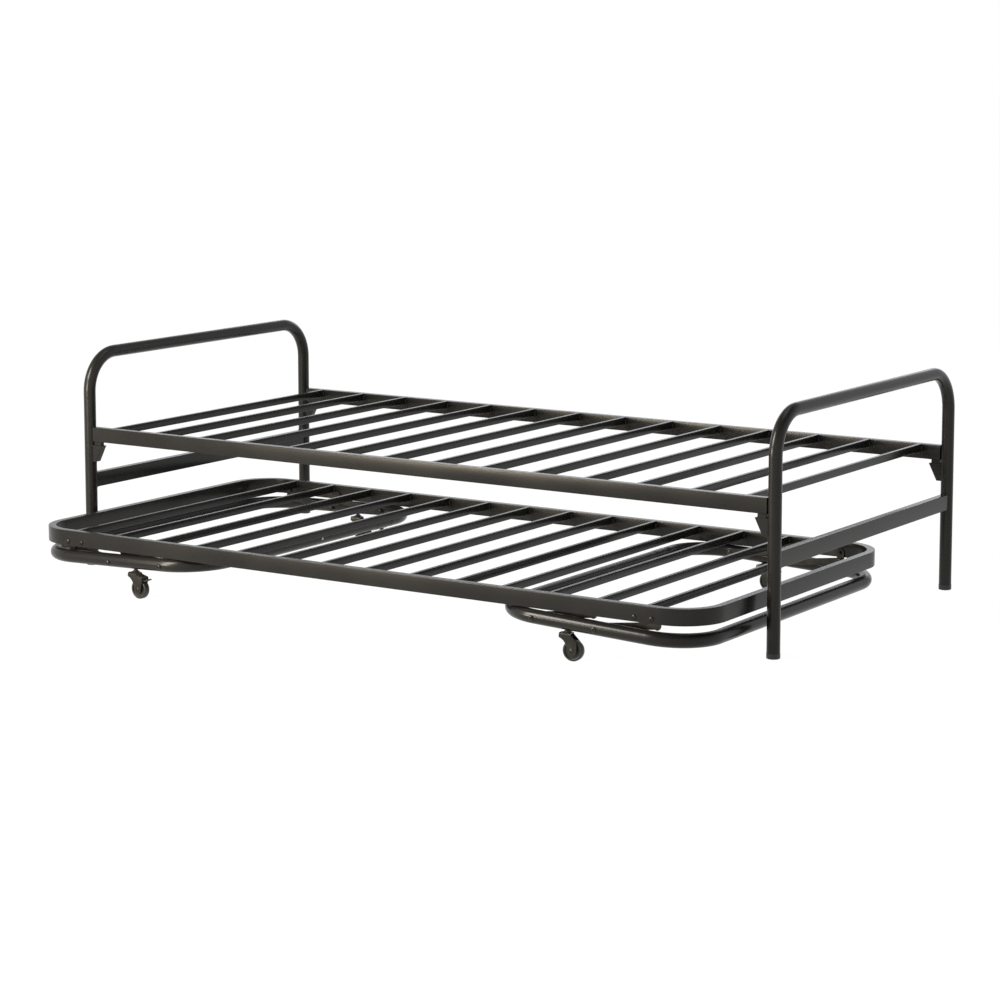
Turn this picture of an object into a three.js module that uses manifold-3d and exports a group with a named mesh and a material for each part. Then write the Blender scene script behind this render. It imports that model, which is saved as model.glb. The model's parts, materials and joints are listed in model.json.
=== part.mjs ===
// A tubular steel day bed with a trundle on casters that rolls out from under it.
//
// Millimetres, +X along the bed, +Y to the back, +Z up, the floor at Z = 0. The bed and the trundle are each
// built about their own middle and then placed. Left and right are -X and +X, front and back are -Y and +Y.
// manifold-3d only joins and cuts; every shape comes from three.js geometry.

import * as THREE from 'three';
import { mergeVertices } from 'three/addons/utils/BufferGeometryUtils.js';
import Module from 'manifold-3d';

const wasm = await Module();
wasm.setup();

// ---------------------------------------------------------------- driving dimensions: the day bed

const BED_LENGTH = 2060; // between the middles of the two hoops
const BED_WIDTH = 942; // between the middles of a hoop's two legs
const BED_HEIGHT = 584; // floor to the top of a hoop
const HOOP_TUBE = 32; // outside diameter
const HOOP_WALL = 1.5;
const HOOP_BEND = 100; // radius of the tube's centre line at a hoop's corner
const HOOP_VENT = 6; // hole that lets the hollow leg drain

const CROSSBAR_TOP = 249;
const CROSSBAR_HEIGHT = 39;
const CROSSBAR_DEPTH = 20;

const RAIL_TOP = 374;
const RAIL_HEIGHT = 38;
const RAIL_DEPTH = 20;

const BAR_WALL = 1.5; // wall of every rectangular tube
const BAR_ROUND = 2.5; // corner radius of every rectangular tube

const SLAT_SIZE = 15; // square tube, on the bed and on the trundle
const SLAT_ROUND = 1.5;
const SLAT_WALL = 1.2;
const SLAT_DROP = 1; // slat tops below the rail tops
const BED_SLATS = 14;
const BED_SLAT_END = 74; // hoop's middle to the middle of the first slat

const POCKET_WALL = 2.5; // wedge pocket on each leg, and the rail's tongue in it
const POCKET_TOP_REACH = 32; // beyond the leg, at the top
const POCKET_FOOT_REACH = 10; // beyond the leg, at the bottom
const POCKET_DROP = 44;
const POCKET_BELOW = 10; // gap under the rail, where the tongue's neck shows
const POCKET_WIDTH = 18;

const FOOT_HEIGHT = 14; // plastic foot round the end of each leg
const FOOT_WALL = 1.2;
const FOOT_SOLE = 3;

// ---------------------------------------------------------------- driving dimensions: the trundle

const PULL_OUT = 268; // how far the trundle stands out from flush
const TRUNDLE_END_GAP = 18; // trundle's end to the hoop
const TRUNDLE_TOP = 151;
const TRUNDLE_BAR_HEIGHT = 39;
const TRUNDLE_BAR_DEPTH = 20;
const TRUNDLE_CORNER = 112; // outside corner radius
const TRUNDLE_SLATS = 14;
const TRUNDLE_SLAT_END = 146.5; // trundle's end to the middle of the first slat

const LOOP_TUBE = 34;
const LOOP_WALL = 1.5;
const LOOP_BEND = 118;
const LOOP_END_INSET = 22; // trundle's end to the middle of the loop's outer run
const LOOP_LENGTH = 536; // between the middles of the loop's outer and inner runs
const LOOP_SIDE_INSET = 3.6; // trundle's side to the middle of the loop's long run
const LOOP_TILT = THREE.MathUtils.degToRad(2.5); // the outer end lies lower
const SPIGOT_LENGTH = 45; // swaged end of the loop's tube, pushed into its other end
const JOINT_SHIFT = 187; // how far the joint stands off the middle of the inner run

const LINK_LENGTH = 148; // between a link's two rivets
const LINK_FOLD = THREE.MathUtils.degToRad(7.1); // a link's slope when the trundle is down
const LINK_WIDTH = 17;
const LINK_THICK = 3.5;
const OUTER_PIVOT = 273; // trundle's end to the outer link's rivet in the loop
const INNER_PIVOT = 441.5; // trundle's end to the inner link's rivet in the loop
const RIVET = 8; // shank diameter
const RIVET_HEAD = 13;
const RIVET_HEAD_HEIGHT = 2.8;
const SPACER = 15; // boss between a link and the loop
const SPACER_GAP = 1.5; // clears the start of the loop's bend

const BRACKET_THICK = 3;
const BRACKET_LUG = 20; // diameter of a bracket's ear round a rivet
const BRACKET_TOP_GAP = 1; // bracket's upper edge below the slats
const BRACKET_EDGE = 113; // bracket's lower edge above the floor, between its ears
const BRACKET_CORNER = 6; // cut off each upper corner
const BOLT = 6;
const BOLT_HEAD = 12;
const BOLT_HEAD_HEIGHT = 3;
const BOLT_NUT = 12;
const BOLT_NUT_HEIGHT = 5;
const BOLT_HEIGHT = 123; // above the floor
const BOLT_PLACES = [129, 174]; // from the trundle's end

const CASTER_PLACE = 352; // trundle's end to the caster's stem
const WHEEL = 50;
const WHEEL_WIDTH = 17;
const WHEEL_HUB = 16; // hub diameter
const TREAD = 6; // rim's depth outside the dish
const TREAD_ROUND = 2.5;
const WHEEL_DISH = 3; // how far the wheel's side is dished between hub and tread
const CASTER_TRAIL = 15; // stem to axle
const AXLE = 8;
const AXLE_STANDS = 1; // axle's end beyond the fork
const FORK_PLATE = 2.5;
const FORK_SIDE_GAP = 0.8; // wheel's side to the fork
const FORK_CROWN_GAP = 4; // wheel's top to the fork's crown
const FORK_CROWN = 12; // height of the crown
const FORK_NOSE = 21; // crown's reach ahead of the stem
const FORK_BOSS = 14; // radius of the cheek round the axle
const STEM = 10;
const STEM_NECK = 15; // collar between the crown and the loop
const STEM_ABOVE = 12; // stem inside the loop's tube
const PEDAL_AHEAD = 14; // axle to the pedal's pin, along the trail
const PEDAL_ABOVE = 28; // axle to the pedal's pin, upward
const PEDAL_PIN = 4;
const PEDAL_BARREL = 8;
const PEDAL_THICK = 3;
const PEDAL_REACH = 22;
const PEDAL_LIFT = THREE.MathUtils.degToRad(24);
const PEDAL_SHOE = 5; // width of the shoe that bears on the tread
const PEDAL_TRAVEL = THREE.MathUtils.degToRad(20);

const CASTERS = [
  { place: 'front_left', x: -1, y: -1, swivel: -4, brake: true },
  { place: 'front_right', x: 1, y: -1, swivel: 8, brake: false },
  { place: 'back_left', x: -1, y: 1, swivel: 5, brake: false },
  { place: 'back_right', x: 1, y: 1, swivel: -3, brake: true },
];

// ---------------------------------------------------------------- clearances

const FIT = 0.3; // between parts that touch or turn in each other
const STEM_FIT = 0.5; // round the stem, which stands plumb in the tilted loop
const POCKET_FIT = 0.4; // tongue in its pocket
const NECK_INSET = 3; // neck of the tongue, narrower than the tongue

const ROUND_STEPS = 12; // faces round a tube
const BEND_STEPS = 5; // faces along a tube's bend
const PIN_STEPS = 8; // faces round a pin, rivet or bolt
const BITE = 1; // how far one solid runs into another that it is joined to, or a tool past what it cuts

// ---------------------------------------------------------------- derived sizes

const TRUNDLE_LENGTH = BED_LENGTH - HOOP_TUBE - 2 * TRUNDLE_END_GAP;
const TRUNDLE_DEPTH = BED_WIDTH + RAIL_DEPTH; // flush with the bed when pushed in
const TRUNDLE_BOTTOM = TRUNDLE_TOP - TRUNDLE_BAR_HEIGHT;

// The ring rests on the loop where the loop, bending inward, passes under the ring's inner edge.
const REST_PLACE = LOOP_END_INSET + LOOP_LENGTH - LOOP_BEND
  + Math.sqrt(LOOP_BEND ** 2 - (LOOP_BEND - TRUNDLE_BAR_DEPTH + LOOP_SIDE_INSET) ** 2);
const LOOP_REST = TRUNDLE_BOTTOM - LOOP_TUBE / 2 - FIT;
const loopHeight = (fromEnd) => LOOP_REST + (fromEnd - REST_PLACE) * Math.tan(LOOP_TILT);
const LOOP_MIDDLE = LOOP_END_INSET + LOOP_LENGTH / 2;
const LOOP_DEPTH = TRUNDLE_DEPTH - 2 * LOOP_SIDE_INSET;

// Depths are measured inward from the trundle's outer face.
const BRACKET_FACE = TRUNDLE_BAR_DEPTH + FIT;
const LINK_FACE = BRACKET_FACE + BRACKET_THICK + FIT;
const LOOP_INNER_FACE = LOOP_SIDE_INSET + LOOP_TUBE / 2;
const LOOP_OUTER_FACE = LOOP_SIDE_INSET - LOOP_TUBE / 2;

const FRONT_REACH = PULL_OUT + TRUNDLE_DEPTH / 2 - LOOP_OUTER_FACE + FIT + RIVET_HEAD_HEIGHT;
const BACK_REACH = BED_WIDTH / 2 + HOOP_TUBE / 2 + FOOT_WALL;
const BED_Y = (FRONT_REACH - BACK_REACH) / 2; // puts the origin in the middle of the whole

// ---------------------------------------------------------------- finishes

const steel = new THREE.MeshStandardMaterial({ color: 0x43413f, roughness: 0.42, metalness: 0.35 });
const zinc = new THREE.MeshStandardMaterial({ color: 0x55534f, roughness: 0.38, metalness: 0.7 });
const nylon = new THREE.MeshStandardMaterial({ color: 0x4a4846, roughness: 0.55, metalness: 0 });
const plastic = new THREE.MeshStandardMaterial({ color: 0x2b2a29, roughness: 0.6, metalness: 0 });

// ---------------------------------------------------------------- solids

function toSolid(geometry) {
  const bare = geometry.clone();
  bare.deleteAttribute('normal');
  bare.deleteAttribute('uv');
  const merged = mergeVertices(bare, 1e-4);
  const corners = merged.index.array;
  const triangles = [];
  for (let i = 0; i < corners.length; i += 3) {
    const [a, b, c] = corners.slice(i, i + 3);
    if (a !== b && b !== c && c !== a) triangles.push(a, b, c); // a lathe leaves empty ones on its axis
  }
  return new wasm.Manifold(new wasm.Mesh({
    numProp: 3,
    vertProperties: new Float32Array(merged.attributes.position.array),
    triVerts: new Uint32Array(triangles),
  }));
}

function toGeometry(solid) {
  const mesh = solid.getMesh();
  const geometry = new THREE.BufferGeometry();
  geometry.setAttribute('position', new THREE.BufferAttribute(new Float32Array(mesh.vertProperties), 3));
  geometry.setIndex(new THREE.BufferAttribute(new Uint32Array(mesh.triVerts), 1));
  return geometry;
}

function join(first, ...others) {
  const sum = others.reduce((solid, geometry) => solid.add(toSolid(geometry)), toSolid(first));
  return toGeometry(sum);
}

function cut(first, ...tools) {
  const rest = tools.reduce((solid, geometry) => solid.subtract(toSolid(geometry)), toSolid(first));
  return toGeometry(rest);
}

function place(geometry, x, y, z) {
  return geometry.translate(x, y, z);
}

// A cylinder along X, Y or Z whose middle is at the origin.
function rod(diameter, length, axis, sides = PIN_STEPS) {
  const geometry = new THREE.CylinderGeometry(diameter / 2, diameter / 2, length, sides);
  if (axis === 'x') geometry.rotateZ(Math.PI / 2);
  if (axis === 'z') geometry.rotateX(Math.PI / 2);
  return geometry;
}

// The tool for a hole that a pin fits: its faces, not its corners, keep the clearance.
function bore(diameter, length, axis, clearance = FIT) {
  return rod((diameter + 2 * clearance) / Math.cos(Math.PI / PIN_STEPS), length, axis);
}

function outline(points) {
  return new THREE.Shape(points.map(([x, y]) => new THREE.Vector2(x, y)));
}

// An outline drawn in X and Z, made thick along Y, its near face at y.
function plate(shape, y, thickness, curveSegments = 6) {
  const geometry = new THREE.ExtrudeGeometry(shape, { depth: thickness, bevelEnabled: false, curveSegments });
  return geometry.rotateX(Math.PI / 2).translate(0, y + thickness, 0);
}

function roundedBox(path, width, height, radius) {
  const [w, h] = [width / 2, height / 2];
  path.moveTo(-w + radius, -h);
  path.lineTo(w - radius, -h);
  path.absarc(w - radius, -h + radius, radius, -Math.PI / 2, 0);
  path.lineTo(w, h - radius);
  path.absarc(w - radius, h - radius, radius, 0, Math.PI / 2);
  path.lineTo(-w + radius, h);
  path.absarc(-w + radius, h - radius, radius, Math.PI / 2, Math.PI);
  path.lineTo(-w, -h + radius);
  path.absarc(-w + radius, -h + radius, radius, Math.PI, 1.5 * Math.PI);
  return path;
}

// Rectangular tube along X, its middle at the origin.
function boxTube(length, depth, height, wall, radius) {
  const section = roundedBox(new THREE.Shape(), depth, height, radius);
  const [innerDepth, innerHeight] = [depth - 2 * wall, height - 2 * wall];
  section.holes.push(outlinePath(innerDepth / 2, innerHeight / 2));
  const geometry = new THREE.ExtrudeGeometry(section, { depth: length, bevelEnabled: false, curveSegments: 1 });
  return geometry.translate(0, 0, -length / 2).rotateX(Math.PI / 2).rotateZ(Math.PI / 2);
}

function outlinePath(w, h) {
  const path = new THREE.Path();
  path.moveTo(-w, -h);
  path.lineTo(-w, h);
  path.lineTo(w, h);
  path.lineTo(w, -h);
  path.closePath();
  return path;
}

// The centre line of a bent tube: straight runs between corners, with an arc at each corner, all in one plane.
// Stations are only where the tube bends, so straight runs cost no faces.
class BentLine extends THREE.Curve {
  constructor(corners, bend, steps) {
    super();
    this.stations = [];
    corners.forEach((corner, i) => {
      const before = corners[i - 1];
      const after = corners[i + 1];
      if (!before || !after) {
        const along = (after ? after.clone().sub(corner) : corner.clone().sub(before)).normalize();
        this.stations.push({ point: corner.clone(), along });
        return;
      }
      const inward = corner.clone().sub(before).normalize();
      const onward = after.clone().sub(corner).normalize();
      const turn = inward.angleTo(onward);
      const reach = bend * Math.tan(turn / 2);
      const start = corner.clone().addScaledVector(inward, -reach);
      const side = onward.clone().addScaledVector(inward, -onward.dot(inward)).normalize();
      for (let step = 0; step <= steps; step += 1) {
        const angle = (turn * step) / steps;
        const point = start.clone()
          .addScaledVector(inward, bend * Math.sin(angle))
          .addScaledVector(side, bend * (1 - Math.cos(angle)));
        const along = inward.clone().multiplyScalar(Math.cos(angle)).addScaledVector(side, Math.sin(angle));
        this.stations.push({ point, along });
      }
    });
  }

  get steps() {
    return this.stations.length - 1;
  }

  stationAt(u) {
    return this.stations[Math.round(u * this.steps)];
  }

  getPointAt(u, target = new THREE.Vector3()) {
    return target.copy(this.stationAt(u).point);
  }

  getPoint(u, target) {
    return this.getPointAt(u, target);
  }

  getTangentAt(u, target = new THREE.Vector3()) {
    return target.copy(this.stationAt(u).along);
  }

  getTangent(u, target) {
    return this.getTangentAt(u, target);
  }
}

// Round tube, open at both ends, along a bent line.
function bentTube(corners, diameter, wall, bend) {
  const ring = (radius, backwards) => Array.from({ length: ROUND_STEPS }, (_, i) => {
    const angle = (backwards ? -1 : 1) * (i / ROUND_STEPS) * 2 * Math.PI;
    return new THREE.Vector2(radius * Math.cos(angle), radius * Math.sin(angle));
  });
  const section = new THREE.Shape(ring(diameter / 2, false));
  section.holes.push(new THREE.Path(ring(diameter / 2 - wall, true)));
  const line = new BentLine(corners, bend, BEND_STEPS);
  return new THREE.ExtrudeGeometry(section, { steps: line.steps, extrudePath: line });
}

// ---------------------------------------------------------------- assembly

const bedGroup = new THREE.Group();
bedGroup.position.y = BED_Y;

const trundleGroup = new THREE.Group();
trundleGroup.position.y = BED_Y - PULL_OUT;

function add(group, name, geometry, material, x = 0, y = 0, z = 0) {
  const mesh = new THREE.Mesh(geometry, material);
  mesh.name = name;
  mesh.position.set(x, y, z);
  group.add(mesh);
  return mesh;
}

const SIDES = [['left', -1], ['right', 1]];
const FACES = [['front', -1], ['back', 1]];
const number = (i) => String(i + 1).padStart(2, '0');

// ---------------------------------------------------------------- end hoops

// A tapered outline beside a leg, between two heights. The pocket and the tongue in it share its slope.
const POCKET_TOP = RAIL_TOP - RAIL_HEIGHT - POCKET_BELOW;

function wedge(toward, inset, top, bottom) {
  const leg = HOOP_TUBE / 2;
  const near = inset > 0 ? leg + inset : leg - 2 * HOOP_WALL;
  const slope = (POCKET_TOP_REACH - POCKET_FOOT_REACH) / POCKET_DROP;
  const far = (height) => leg + POCKET_TOP_REACH - inset - slope * (POCKET_TOP - height);
  return outline([
    [toward * near, top], [toward * far(top), top], [toward * far(bottom), bottom], [toward * near, bottom],
  ]);
}

// Wedge pocket welded to a leg: a tapered box, open at its top and bottom, that takes the rail's tongue.
function pocket(toward, legY) {
  const [top, bottom] = [POCKET_TOP, POCKET_TOP - POCKET_DROP];
  const room = POCKET_WIDTH - 2 * POCKET_WALL;
  const box = plate(wedge(toward, 0, top, bottom), -POCKET_WIDTH / 2, POCKET_WIDTH);
  const hollow = plate(wedge(toward, POCKET_WALL, top + BITE, bottom - BITE), -room / 2, room);
  const legInside = place(rod(HOOP_TUBE - 2 * HOOP_WALL, 2 * POCKET_DROP, 'z', ROUND_STEPS), 0, 0, bottom);
  return place(cut(box, hollow, legInside), 0, legY, 0);
}

function footCap(legY) {
  const outside = HOOP_TUBE / 2 + FOOT_WALL;
  const profile = [[0, 0], [outside - FOOT_WALL, 0], [outside, FOOT_WALL], [outside, FOOT_HEIGHT], [0, FOOT_HEIGHT]];
  const cap = new THREE.LatheGeometry(profile.map(([r, z]) => new THREE.Vector2(r, z)), ROUND_STEPS);
  const well = rod(HOOP_TUBE - 2 * HOOP_WALL, FOOT_HEIGHT, 'z', ROUND_STEPS);
  const shaped = cut(cap.rotateX(Math.PI / 2), place(well, 0, 0, FOOT_SOLE + FOOT_HEIGHT / 2));
  return place(shaped, 0, legY, 0);
}

function hoop(toward) {
  const legY = BED_WIDTH / 2;
  const top = BED_HEIGHT - HOOP_TUBE / 2;
  const corners = [[-legY, FOOT_SOLE], [-legY, top], [legY, top], [legY, FOOT_SOLE]];
  const line = corners.map(([y, z]) => new THREE.Vector3(0, y, z));
  const tube = bentTube(line, HOOP_TUBE, HOOP_WALL, HOOP_BEND);
  const whole = join(tube, pocket(toward, -legY), pocket(toward, legY), footCap(-legY), footCap(legY));
  const ventHeight = CROSSBAR_TOP - CROSSBAR_HEIGHT / 2;
  const vents = FACES.map(([, y]) => place(rod(HOOP_VENT, HOOP_TUBE, 'y'), 0, y * (legY - HOOP_TUBE / 2), ventHeight));
  return cut(whole, ...vents);
}

SIDES.forEach(([side, x]) => {
  add(bedGroup, `hoop_${side}`, hoop(-x), steel, (x * BED_LENGTH) / 2);
});

// ---------------------------------------------------------------- crossbars

// The ends are coped to the legs.
function crossbar() {
  const length = BED_WIDTH - HOOP_TUBE / 2;
  const bar = boxTube(length, CROSSBAR_DEPTH, CROSSBAR_HEIGHT, BAR_WALL, BAR_ROUND).rotateZ(Math.PI / 2);
  const copes = FACES.map(([, y]) => place(rod(HOOP_TUBE + 2 * FIT, 2 * CROSSBAR_HEIGHT, 'z', 3 * ROUND_STEPS),
    0, (y * BED_WIDTH) / 2, 0));
  return cut(bar, ...copes);
}

SIDES.forEach(([side, x]) => {
  const middle = CROSSBAR_TOP - CROSSBAR_HEIGHT / 2;
  add(bedGroup, `crossbar_${side}`, crossbar(), steel, (x * BED_LENGTH) / 2, 0, middle);
});

// ---------------------------------------------------------------- side rails

// A tongue is the pocket's room less its clearance, and hangs on its neck under each end of the rail.
function tongue(toward) {
  const width = POCKET_WIDTH - 2 * POCKET_WALL - 2 * POCKET_FIT;
  const inset = POCKET_WALL + POCKET_FIT;
  const inPocket = wedge(toward, inset, POCKET_TOP, POCKET_TOP - POCKET_DROP + POCKET_WALL);
  const near = HOOP_TUBE / 2 + inset;
  const far = HOOP_TUBE / 2 + POCKET_TOP_REACH - inset - NECK_INSET;
  const [top, bottom] = [RAIL_TOP - RAIL_HEIGHT + BAR_WALL / 2, POCKET_TOP - BITE];
  const neck = outline([
    [toward * near, top], [toward * far, top], [toward * far, bottom], [toward * near, bottom],
  ]);
  return join(plate(inPocket, -width / 2, width), plate(neck, -width / 2, width));
}

function sideRail() {
  const length = BED_LENGTH - HOOP_TUBE / 2;
  const bar = boxTube(length, RAIL_DEPTH, RAIL_HEIGHT, BAR_WALL, BAR_ROUND);
  place(bar, 0, 0, RAIL_TOP - RAIL_HEIGHT / 2);
  const copes = SIDES.map(([, x]) => place(rod(HOOP_TUBE + 2 * FIT, 2 * RAIL_HEIGHT, 'z', 3 * ROUND_STEPS),
    (x * BED_LENGTH) / 2, 0, RAIL_TOP - RAIL_HEIGHT / 2));
  const tongues = SIDES.map(([, x]) => place(tongue(-x), (x * BED_LENGTH) / 2, 0, 0));
  return join(cut(bar, ...copes), ...tongues);
}

FACES.forEach(([face, y]) => {
  add(bedGroup, `side_rail_${face}`, sideRail(), steel, 0, (y * BED_WIDTH) / 2);
});

// ---------------------------------------------------------------- slats

function addSlats(group, name, count, firstX, span, top) {
  for (let i = 0; i < count; i += 1) {
    const x = firstX + (i * -2 * firstX) / (count - 1);
    const slat = boxTube(span - 2 * FIT, SLAT_SIZE, SLAT_SIZE, SLAT_WALL, SLAT_ROUND).rotateZ(Math.PI / 2);
    add(group, `${name}_${number(i)}`, slat, steel, x, 0, top - SLAT_DROP - SLAT_SIZE / 2);
  }
}

addSlats(bedGroup, 'bed_slat', BED_SLATS, BED_SLAT_END - BED_LENGTH / 2, BED_WIDTH - RAIL_DEPTH, RAIL_TOP);
addSlats(trundleGroup, 'trundle_slat', TRUNDLE_SLATS, TRUNDLE_SLAT_END - TRUNDLE_LENGTH / 2,
  TRUNDLE_DEPTH - 2 * TRUNDLE_BAR_DEPTH, TRUNDLE_TOP);

// ---------------------------------------------------------------- trundle ring

function ringSolid(inset, bottom, height, round) {
  const width = (reduce) => TRUNDLE_LENGTH - 2 * reduce;
  const depth = (reduce) => TRUNDLE_DEPTH - 2 * reduce;
  const far = TRUNDLE_BAR_DEPTH - inset;
  const shape = roundedBox(new THREE.Shape(), width(inset), depth(inset), TRUNDLE_CORNER - inset);
  shape.holes.push(roundedBox(new THREE.Path(), width(far), depth(far), TRUNDLE_CORNER - far));
  const bevel = round > 0
    ? { bevelEnabled: true, bevelThickness: round, bevelSize: round, bevelOffset: -round, bevelSegments: 1 }
    : { bevelEnabled: false };
  const geometry = new THREE.ExtrudeGeometry(shape, { depth: height - 2 * round, curveSegments: 4, ...bevel });
  return place(geometry, 0, 0, bottom + round);
}

// Hollow inside: the bolt holes open the hollow to the air.
function trundleRing() {
  const outer = ringSolid(0, TRUNDLE_BOTTOM, TRUNDLE_BAR_HEIGHT, BAR_ROUND);
  const hollow = ringSolid(BAR_WALL, TRUNDLE_BOTTOM + BAR_WALL, TRUNDLE_BAR_HEIGHT - 2 * BAR_WALL, 0);
  const holes = SIDES.flatMap(([, x]) => FACES.flatMap(([, y]) => BOLT_PLACES.map((fromEnd) => place(
    bore(BOLT, 3 * TRUNDLE_BAR_DEPTH, 'y'),
    x * (TRUNDLE_LENGTH / 2 - fromEnd), y * (TRUNDLE_DEPTH / 2), BOLT_HEIGHT))));
  return cut(outer, hollow, ...holes);
}

add(trundleGroup, 'trundle_ring', trundleRing(), steel);

// ---------------------------------------------------------------- base loops

// The tube runs once round and its swaged end slides into its own beginning, in the middle run.
// inner is the X direction from the loop's middle to its inner run.
function baseLoop(inner) {
  const [x, y] = [LOOP_LENGTH / 2, LOOP_DEPTH / 2];
  const corners = [[x, JOINT_SHIFT], [x, y], [-x, y], [-x, -y], [x, -y], [x, JOINT_SHIFT - FIT]];
  const line = corners.map(([along, across]) => new THREE.Vector3(along, across, 0));
  const tube = bentTube(line, LOOP_TUBE, LOOP_WALL, LOOP_BEND);

  // The spigot's wall starts in the tube's own wall, steps in, and runs into the tube's mouth.
  const inside = LOOP_TUBE / 2 - LOOP_WALL;
  const outside = inside + LOOP_WALL / 3;
  const spigotOutside = inside * Math.cos(Math.PI / ROUND_STEPS) - FIT;
  const spigotInside = spigotOutside - LOOP_WALL;
  const root = -2 * LOOP_WALL;
  const profile = [
    [spigotInside, root], [outside, root], [outside, -FIT], [spigotOutside, -FIT],
    [spigotOutside, SPIGOT_LENGTH], [spigotInside, SPIGOT_LENGTH], [spigotInside, root],
  ];
  const spigot = new THREE.LatheGeometry(profile.map(([r, along]) => new THREE.Vector2(r, along)), ROUND_STEPS);
  place(spigot, x, JOINT_SHIFT - FIT, 0);
  let loop = join(tube, spigot);

  const along = (fromEnd) => (fromEnd - LOOP_MIDDLE) / Math.cos(LOOP_TILT);
  const rivetHoles = [OUTER_PIVOT, INNER_PIVOT].flatMap((fromEnd) => FACES.map(([, side]) => (
    place(bore(RIVET, 2 * LOOP_TUBE, 'y'), along(fromEnd), side * y, 0))));
  const stemHoles = FACES.map(([, side]) => {
    const hole = place(bore(STEM, LOOP_TUBE, 'z', STEM_FIT), 0, 0, -LOOP_TUBE / 2);
    return place(hole.rotateY(LOOP_TILT), along(CASTER_PLACE), side * y, 0);
  });
  loop = cut(loop, ...rivetHoles, ...stemHoles);
  if (inner < 0) loop.rotateZ(Math.PI);
  return loop;
}

SIDES.forEach(([side, x]) => {
  const mesh = add(trundleGroup, `base_loop_${side}`, baseLoop(-x), steel,
    x * (TRUNDLE_LENGTH / 2 - LOOP_MIDDLE), 0, loopHeight(LOOP_MIDDLE));
  mesh.rotation.y = x * LOOP_TILT;
});

// ---------------------------------------------------------------- one corner of the trundle

// Places at a corner are measured from the trundle's end and inward from its outer face. x and y are the
// corner's signs, so a corner's own part is drawn from the corner, towards the middle.
const CORNERS = SIDES.flatMap(([side, x]) => FACES.map(([face, y]) => ({ corner: `${face}_${side}`, x, y })));

// An outline in X and Z made solid between two depths.
function slab(shape, y, near, far, curveSegments = 3) {
  const [from, to] = [-y * near, -y * far].sort((a, b) => a - b);
  return plate(shape, from, to - from, curveSegments);
}

// A pin along Y between two depths.
function pin(diameter, y, near, far, x = 0, z = 0, sides = PIN_STEPS) {
  return place(rod(diameter, Math.abs(far - near), 'y', sides), x, (-y * (near + far)) / 2, z);
}

// ---------------------------------------------------------------- link brackets

// The links are parallel and alike, so the frame's two rivets lie as far apart as the loop's two.
const framePivot = (loopPivot) => ({
  fromEnd: loopPivot - LINK_LENGTH * Math.cos(LINK_FOLD),
  height: loopHeight(loopPivot) + LINK_LENGTH * Math.sin(LINK_FOLD),
});

function ear(shape, x, { fromEnd, height }) {
  for (let step = 0; step <= BEND_STEPS; step += 1) {
    const angle = (Math.PI * step) / BEND_STEPS;
    shape.lineTo(-x * (fromEnd - (BRACKET_LUG / 2) * Math.cos(angle)), height - (BRACKET_LUG / 2) * Math.sin(angle));
  }
}

function bracketOutline(x) {
  const [outer, inner] = [OUTER_PIVOT, INNER_PIVOT].map(framePivot);
  const start = outer.fromEnd - BRACKET_LUG / 2;
  const end = inner.fromEnd + BRACKET_LUG / 2;
  const top = TRUNDLE_TOP - SLAT_DROP - SLAT_SIZE - BRACKET_TOP_GAP;
  const shape = new THREE.Shape();
  shape.moveTo(-x * (start + BRACKET_CORNER), top);
  shape.lineTo(-x * start, top - BRACKET_CORNER);
  ear(shape, x, outer);
  shape.lineTo(-x * (outer.fromEnd + BRACKET_LUG / 2), BRACKET_EDGE);
  shape.lineTo(-x * (inner.fromEnd - BRACKET_LUG / 2), BRACKET_EDGE);
  ear(shape, x, inner);
  shape.lineTo(-x * end, top - BRACKET_CORNER);
  shape.lineTo(-x * (end - BRACKET_CORNER), top);
  return shape;
}

// A plate behind the ring's long side, with the two bolts that hold it. Their heads stand on the outer face.
function bracket(x, y) {
  const [near, far] = [BRACKET_FACE, BRACKET_FACE + BRACKET_THICK];
  const holes = [OUTER_PIVOT, INNER_PIVOT].map(framePivot).map(({ fromEnd, height }) => (
    place(bore(RIVET, 2 * BRACKET_FACE, 'y'), -x * fromEnd, -y * far, height)));
  const bolts = BOLT_PLACES.flatMap((fromEnd) => [
    pin(BOLT, y, -FIT - BITE, near + BITE, -x * fromEnd, BOLT_HEIGHT),
    pin(BOLT_HEAD, y, -FIT - BOLT_HEAD_HEIGHT, -FIT, -x * fromEnd, BOLT_HEIGHT),
    pin(BOLT_NUT, y, far - BITE, far + BOLT_NUT_HEIGHT, -x * fromEnd, BOLT_HEIGHT, 6),
  ]);
  return join(cut(slab(bracketOutline(x), y, near, far), ...holes), ...bolts);
}

CORNERS.forEach(({ corner, x, y }) => {
  add(trundleGroup, `link_bracket_${corner}`, bracket(x, y), zinc, (x * TRUNDLE_LENGTH) / 2, (y * TRUNDLE_DEPTH) / 2);
});

// ---------------------------------------------------------------- links

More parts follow.
